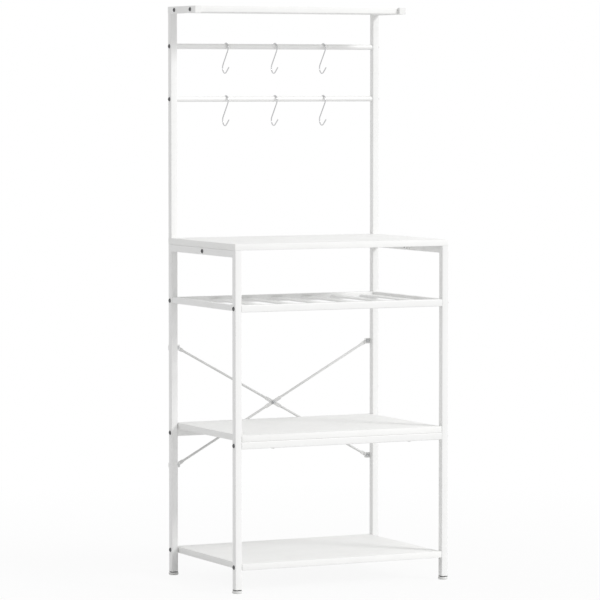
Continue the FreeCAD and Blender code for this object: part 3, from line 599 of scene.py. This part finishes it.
def piece(name, mesh, material, replaced, body="rack"):
    """A finished object in its place: it rides on its body and stands for its nodes."""
    bmesh.ops.recalc_face_normals(mesh, faces=mesh.faces)
    data = bpy.data.meshes.new(name)
    mesh.to_mesh(data)
    mesh.free()
    data.shade_smooth()
    data.set_sharp_from_angle(angle=SHARP_ANGLE)
    data.materials.append(material)
    item = bpy.data.objects.new(name, data)
    bpy.context.scene.collection.objects.link(item)
    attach(item, body)
    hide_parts(replaced)


def square_tube(mesh, start, end, side=TUBE):
    """A length of square tube; its sides stay parallel to the axes."""
    along = (Vector(end) - Vector(start)).normalized()
    sideways = Y_AXIS if abs(along.y) < 0.5 else X_AXIS
    bar(mesh, rounded_outline(side, side, TUBE_ROUND), start, end, sideways)


def corner_welds(mesh, x, y, z, side, toward, chance):
    """Beads round a side rail's end at its post, none under the worktop; toward points along the rail."""
    reach = side / 2 - TUBE_ROUND
    for way in BOTH_WAYS:
        level = z + way * side / 2
        if level < WORKTOP_UNDER - WELD_SIZE / 2:
            weld(mesh, (x - reach, y, level), (x + reach, y, level), (0, toward, way), chance)
    if side < TUBE:
        for way in BOTH_WAYS:
            edge = x + way * side / 2
            weld(mesh, (edge, y, z - reach), (edge, y, z + reach), (way, toward, 0), chance)


def lower_frame(side_name, sign):
    mesh = bmesh.new()
    chance = random.Random(11 + sign)
    x = sign * POST_X
    for y in BOTH_POSTS:
        square_tube(mesh, (x, y, POST_FOOT), (x, y, WORKTOP_UNDER))
    rail_end = INNER_Y + RAIL_SUNK
    for z, side in ((SIDE_RAIL_Z, TUBE), (SLAT_RAIL_Z, SLAT_RAIL)):
        square_tube(mesh, (x, -rail_end, z), (x, rail_end, z), side - CLEAR)
        for way in BOTH_WAYS:
            corner_welds(mesh, x, way * INNER_Y, z, side, -way, chance)
    outline = rounded_outline(TUBE + PLATE_REACH, PLATE_HIGH, PLATE_ROUND)
    plate_x = x - sign * PLATE_REACH / 2
    weld_xs = (x - PLATE_WELD_REACH, x + PLATE_WELD_REACH)
    for level in BRACE_LEVELS:
        bar(mesh, outline, (plate_x, HALF_DEPTH - PLATE_SUNK, level),
            (plate_x, HALF_DEPTH + PLATE_THICK, level), X_AXIS)
        for way in BOTH_WAYS:
            start, end = ((weld_x, HALF_DEPTH, level + way * PLATE_HIGH / 2) for weld_x in weld_xs)
            weld(mesh, start, end, (0, 1, way), chance, PLATE_WELD)
    piece(f"{side_name}_lower_tubes", mesh, POWDER_WHITE, f"{side_name}_lower_frame")


def upper_frame(side_name, sign):
    mesh = bmesh.new()
    chance = random.Random(21 + sign)
    x = sign * POST_X
    square_tube(mesh, (x, POST_Y, WORKTOP_TOP), (x, POST_Y, ARM_UNDER + POST_SUNK), TUBE - CLEAR)
    square_tube(mesh, (x, ARM_FRONT + CAP_THICK, ARM_Z), (x, HALF_DEPTH, ARM_Z))
    reach = TUBE / 2 - TUBE_ROUND
    weld(mesh, (x - reach, INNER_Y, ARM_UNDER), (x + reach, INNER_Y, ARM_UNDER), (0, -1, -1), chance)
    piece(f"{side_name}_upper_tubes", mesh, POWDER_WHITE, f"{side_name}_upper_frame")


def board(node):
    mesh = bmesh.new()
    slab(mesh, *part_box(node), BOARD_ROUND)
    piece(f"{node}_panel", mesh, BOARD_WHITE, node)


def rail_line(node):
    """The ends of a rail's middle line, left and right."""
    low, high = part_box(node)
    y, z = (low.y + high.y) / 2, (low.z + high.z) / 2
    return (low.x, y, z), (high.x, y, z)


def cross_rail(node):
    mesh = bmesh.new()
    square_tube(mesh, *rail_line(node))
    piece(f"{node}_tube", mesh, POWDER_WHITE, node)


def hook_rail(node):
    mesh = bmesh.new()
    bar(mesh, round_outline(HOOK_RAIL / 2, ROUND_SIDES), *rail_line(node), Y_AXIS, HOOK_RAIL_EASE)
    piece(f"{node}_tube", mesh, POWDER_WHITE, node)


def slatted_shelf():
    """Two rails and seven flat strips, with beads above and below each strip's ends."""
    mesh = bmesh.new()
    chance = random.Random(31)
    for y in BOTH_POSTS:
        square_tube(mesh, (-INNER_X, y, SLATTED_Z), (INNER_X, y, SLATTED_Z))
    outline = rounded_outline(STRIP_WIDE, STRIP_THICK, STRIP_ROUND)
    strip_end = INNER_Y + STRIP_SUNK
    for number in range(-3, 4):
        x = number * STRIP_STEP
        bar(mesh, outline, (x, -strip_end, SLATTED_Z), (x, strip_end, SLATTED_Z), X_AXIS)
        weld_xs = (x - STRIP_WELD_REACH, x + STRIP_WELD_REACH)
        for way in BOTH_WAYS:
            for side in BOTH_WAYS:
                level = SLATTED_Z + side * STRIP_THICK / 2
                start, end = ((weld_x, way * INNER_Y, level) for weld_x in weld_xs)
                weld(mesh, start, end, (0, -way, side), chance, STRIP_WELD)
    piece("slatted_shelf_strips_and_rails", mesh, POWDER_WHITE, "slatted_shelf")


def arc(middle, radius, first, turn, steps=40):
    """Points on an arc, as back and up, without its first one."""
    points = []
    for step in range(1, steps + 1):
        angle = first + turn * step / steps
        points.append((middle[0] + radius * math.cos(angle), middle[1] + radius * math.sin(angle)))
    return points


def hook(name, x, rail_z):
    """An S of round wire: a half turn over the rail, a bowl and a straight leg to the front."""
    upper_z = HOOK_TOP - HOOK_UPPER_RADIUS
    apart = math.hypot(HOOK_SHIFT, HOOK_DROP)
    crossing = math.atan(HOOK_SHIFT / HOOK_DROP)
    crossing += math.asin((HOOK_UPPER_RADIUS + HOOK_LOWER_RADIUS) / apart)
    bowl_turn = crossing + math.pi / 2 + HOOK_LEG_RISE
    path = [(HOOK_UPPER_RADIUS, upper_z - HOOK_TIP), (HOOK_UPPER_RADIUS, upper_z)]
    path += arc((0, upper_z), HOOK_UPPER_RADIUS, 0, math.pi + crossing)
    path += arc((HOOK_SHIFT, upper_z - HOOK_DROP), HOOK_LOWER_RADIUS, crossing, -bowl_turn)
    back, up = path[-1]
    path.append((back - HOOK_LEG * math.cos(HOOK_LEG_RISE), up + HOOK_LEG * math.sin(HOOK_LEG_RISE)))
    mesh = bmesh.new()
    wire(mesh, [Vector((x, POST_Y + back, rail_z + up)) for back, up in path], HOOK_WIRE, X_AXIS)
    piece(f"{name}_wire", mesh, HOOK_METAL, name, name)


def brace_rod(node, rising, layer):
    """A round rod pressed flat at its middle and ends, with each flat eased into the round."""
    steps = 5
    count = 4 * (steps + 1)
    flat = rounded_outline(BRACE_THICK, BRACE_FLAT, BRACE_ROUND, steps)
    circle = round_outline(BRACE_ROD / 2, count, 45 - steps / 2 * 360 / count)
    rise = BRACE_LEVELS[1] - BRACE_LEVELS[0]
    half = math.hypot(rise, 2 * BRACE_X) / 2
    slope = math.atan2(rise, 2 * BRACE_X) * rising
    along = Vector((math.cos(slope), 0, math.sin(slope)))
    upward = Vector((-math.sin(slope), 0, math.cos(slope)))
    middle = Vector((0, BRACE_Y, sum(BRACE_LEVELS) / 2))
    tip = half + BRACE_FLAT / 2
    to_layer = layer * BRACE_THICK / 2
    taper_step = BRACE_TAPER / (len(TAPER_ROUNDNESS) - 1)
    taper = [(taper_step * index, roundness) for index, roundness in enumerate(TAPER_ROUNDNESS)]
    # Each section: its place along the rod, roundness, shift to the back and share of the width
    sections = [(0, 0, to_layer, 1)]
    for on, roundness in taper:
        sections.append((BRACE_CENTRE_FLAT + on, roundness, to_layer * (1 - roundness), 1))
    sections += [(half - BRACE_END_FLAT - on, roundness, 0, 1) for on, roundness in reversed(taper)]
    sections += [(tip - inset, 0, 0, share) for inset, share in TIP_SHARES]
    mirrored = [(-place, *rest) for place, *rest in reversed(sections[1:])]
    rings = []
    for place, roundness, shift, share in mirrored + sections:
        ring = []
        for (flat_y, flat_z), (circle_y, circle_z) in zip(flat, circle):
            y = flat_y * (1 - roundness) + circle_y * roundness
            z = (flat_z * (1 - roundness) + circle_z * roundness) * share
            ring.append(middle + along * place + Y_AXIS * (y + shift) + upward * z)
        rings.append(ring)
    mesh = bmesh.new()
    skin(mesh, rings)
    # The rods take the darker copy of the white coat, whose grey is painted shade
    piece(f"{node}_bar", mesh, BRACE_PAINTED_SHADE_COAT, node)


def frame_bolts(node, places, end=INNER_X):
    """Button-head bolts on both outer faces, at the given depths and levels, and any bare inner ends."""
    mesh = bmesh.new()
    for sign in SIDES.values():
        for y, z in places:
            button_head(mesh, (sign * HALF_WIDTH, y, z), (sign, 0, 0), **FRAME_BOLT)
            if end < INNER_X:
                thread(mesh, (sign * INNER_X, y, z), (-sign, 0, 0), FRAME_BOLT["bolt"], INNER_X - end)
    piece(f"{node}_heads", mesh, BOLT_STEEL, node)


def brace_bolts_and_nuts():
    bolts, nuts = bmesh.new(), bmesh.new()
    for sign in SIDES.values():
        for z in BRACE_LEVELS:
            button_head(bolts, (sign * BRACE_X, BRACE_Y + BRACE_THICK / 2, z), Y_AXIS, **BRACE_BOLT)
            hexagon_nut(nuts, (sign * BRACE_X, HALF_DEPTH, z), -Y_AXIS, **BRACE_NUT)
    piece("brace_end_bolt_heads", bolts, BOLT_STEEL, "brace_end_bolts")
    piece("brace_end_hexagon_nuts", nuts, ZINC, "brace_end_nuts")
    middle_z = sum(BRACE_LEVELS) / 2
    bolt, nut = bmesh.new(), bmesh.new()
    button_head(bolt, (0, BRACE_Y + BRACE_THICK, middle_z), Y_AXIS, **BRACE_BOLT)
    hexagon_nut(nut, (0, BRACE_Y - BRACE_THICK, middle_z), -Y_AXIS, **BRACE_NUT)
    piece("brace_centre_bolt_head", bolt, BOLT_STEEL, "brace_centre_bolt")
    piece("brace_centre_hexagon_nut", nut, ZINC, "brace_centre_nut")


def arm_caps():
    mesh = bmesh.new()
    cover = rounded_outline(TUBE, TUBE, TUBE_ROUND)
    plug = rounded_outline(CAP_PLUG, CAP_PLUG, CAP_PLUG_ROUND)
    cover_back = ARM_FRONT + CAP_THICK
    for x in (-POST_X, POST_X):
        bar(mesh, cover, (x, ARM_FRONT, ARM_Z), (x, cover_back, ARM_Z), X_AXIS, CAP_EASE)
        bar(mesh, plug, (x, cover_back - CAP_PLUG_LAP, ARM_Z), (x, ARM_FRONT + CAP_PLUG_END, ARM_Z), X_AXIS)
    piece("arm_end_cap_covers", mesh, CAP_WHITE, "arm_end_caps")


def foot(name, x, y):
    """A moulded pad on a threaded stud."""
    pad, stud = bmesh.new(), bmesh.new()
    rings = [(round_outline(radius * MM, ROUND_SIDES), height * MM) for radius, height in FOOT_PROFILE]
    turned(pad, rings, (x, y, 0), Z_AXIS)
    thread(stud, (x, y, FOOT_STUD_START), Z_AXIS, FOOT_STUD, FOOT_STUD_LENGTH, FOOT_STUD_PITCH)
    body = f"{name}_foot"
    piece(f"{body}_moulding", pad, FOOT_WHITE, f"{body}_pad", body)
    piece(f"{body}_screw", stud, ZINC, f"{body}_stud", body)


def show_node(name, material):
    """A node whose own shape is kept, with its edges rounded and a better finish."""
    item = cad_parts[name]
    item.data.materials.clear()
    item.data.materials.append(material)
    joined = item.modifiers.new("joined_faces", "WELD")
    joined.merge_threshold = SHOWN_JOIN
    rounding = item.modifiers.new("rounded_edges", "BEVEL")
    rounding.width = SHOWN_ROUND
    rounding.segments = 2
    rounding.limit_method = "ANGLE"
    rounding.angle_limit = SHOWN_ROUND_ANGLE


for side_name, sign in SIDES.items():
    lower_frame(side_name, sign)
    upper_frame(side_name, sign)
for board_name in ("bottom_board", "middle_board", "worktop_board", "top_board"):
    board(board_name)
for rail_name in ("middle_front_rail", "middle_rear_rail"):
    cross_rail(rail_name)
slatted_shelf()
for level_name, rail_z in HOOK_LEVELS.items():
    hook_rail(f"{level_name}_hook_rail")
    for place_name, x in HOOK_PLACES.items():
        hook(f"{level_name}_{place_name}_hook", x, rail_z)
brace_rod("rising_brace_rod", rising=1, layer=-1)
brace_rod("falling_brace_rod", rising=-1, layer=1)

frame_bolts("arm_bolts", [(y, ARM_Z) for y in ARM_BOLT_YS])
frame_bolts("hook_rail_bolts", [(POST_Y, z) for z in HOOK_LEVELS.values()])
frame_bolts("slatted_shelf_bolts", [(y, SLATTED_Z) for y in BOTH_POSTS])
frame_bolts("middle_rail_bolts", [(y, MIDDLE_RAIL_Z) for y in BOTH_POSTS])
frame_bolts("bottom_board_bolts", [(y, BOTTOM_BOLT_Z) for y in BOTH_POSTS])
frame_bolts("worktop_bracket_bolts", [(BRACKET_Y, SIDE_RAIL_Z)], BRACKET_BOLT_END)
brace_bolts_and_nuts()
arm_caps()
for corner_name, (x, y) in CORNERS.items():
    foot(corner_name, x, y)

SHOWN_NODES = {
    ZINC: ("top_board_inserts", "bottom_board_inserts", "hook_rail_plugs", "slatted_shelf_plugs",
           "middle_rail_plugs", "post_joint_plugs", "post_joint_studs"),
    # Painted light: the bracket nuts and screws take the lighter zinc copy
    ZINC_PAINTED_LIGHT: ("worktop_bracket_nuts", "worktop_screws"),
    POWDER_WHITE: ("worktop_brackets", "middle_board_screws"),
    # Black plug flanges, their black partly painted shade of the gap under each post
    PLUG_BLACK_AND_GAP_SHADE: ("foot_plugs",),
}
for finish, node_names in SHOWN_NODES.items():
    for node_name in node_names:
        show_node(node_name, finish)


# Studio: a pale floor that runs into a white ground, one soft lamp from the upper right front

def seen_share(tree):
    """1 where the eye looks, straight or by a mirror or glass, and 0 where light falls on the rack."""
    rays = tree.nodes.new("ShaderNodeLightPath").outputs
    seen = maths(tree, "MAXIMUM", rays["Is Camera Ray"], rays["Is Glossy Ray"])
    return maths(tree, "MAXIMUM", seen, rays["Is Transmission Ray"])


def floor_and_ground():
    """A matt floor that keeps a faint shadow near the rack and turns plain white further out."""
    mesh = bmesh.new()
    bmesh.ops.create_circle(mesh, cap_ends=True, segments=64, radius=FLOOR_RADIUS)
    data = bpy.data.meshes.new("studio_floor")
    mesh.to_mesh(data)
    mesh.free()
    floor = bpy.data.objects.new("studio_floor", data)
    bpy.context.scene.collection.objects.link(floor)
    material, tree, sockets = new_finish("studio_floor_white")
    sockets["Base Color"].default_value = FLOOR_WHITE
    sockets["Roughness"].default_value = 0.9
    sockets["Specular IOR Level"].default_value = 0.1
    shine = tree.nodes.new("ShaderNodeEmission")
    shine.inputs["Strength"].default_value = 1.0
    far = tree.nodes.new("ShaderNodeVectorMath")
    far.operation = "LENGTH"
    feed(tree, far.inputs[0], object_place(tree))
    share = spread(tree, far.outputs["Value"], FLOOR_NEAR, FLOOR_FAR, FLOOR_GLOW_SHARE, 1.0)
    mixed = tree.nodes.new("ShaderNodeMixShader")
    feed(tree, mixed.inputs[0], maths(tree, "MULTIPLY", seen_share(tree), share))
    feed(tree, mixed.inputs[1], tree.nodes["Principled BSDF"].outputs[0])
    feed(tree, mixed.inputs[2], shine.outputs[0])
    feed(tree, tree.nodes["Material Output"].inputs["Surface"], mixed.outputs[0])
    data.materials.append(material)


def surroundings():
    """White to the eye and in reflections, a little dimmer as the light that falls on the rack."""
    world = bpy.data.worlds.new("studio_white")
    bpy.context.scene.world = world
    world.use_nodes = True
    tree = world.node_tree
    light = tree.nodes["Background"].inputs
    light["Color"].default_value = (1.0, 1.0, 1.0, 1.0)
    feed(tree, light["Strength"], spread(tree, seen_share(tree), 0.0, 1.0, AMBIENT, 1.0))


def key_lamp():
    data = bpy.data.lights.new("key_lamp", "SUN")
    data.energy = KEY_STRENGTH
    data.angle = KEY_SOFTNESS
    lamp = bpy.data.objects.new("key_lamp", data)
    lamp.rotation_mode = "QUATERNION"
    lamp.rotation_quaternion = Vector(KEY_TRAVEL).to_track_quat("-Z", "Y")
    bpy.context.scene.collection.objects.link(lamp)


def camera():
    data = bpy.data.cameras.new("camera")
    data.sensor_width = 36
    data.lens = CAMERA_LENS
    data.clip_end = CAMERA_RANGE
    look = Vector((math.sin(CAMERA_YAW) * math.cos(CAMERA_PITCH),
                   math.cos(CAMERA_YAW) * math.cos(CAMERA_PITCH), -math.sin(CAMERA_PITCH)))
    eye = bpy.data.objects.new("camera", data)
    eye.location = CAMERA_PLACE
    eye.rotation_mode = "QUATERNION"
    eye.rotation_quaternion = look.to_track_quat("-Z", "Y")
    bpy.context.scene.collection.objects.link(eye)
    bpy.context.scene.camera = eye


floor_and_ground()
surroundings()
key_lamp()
camera()
bpy.context.scene.view_settings.view_transform = "Standard"
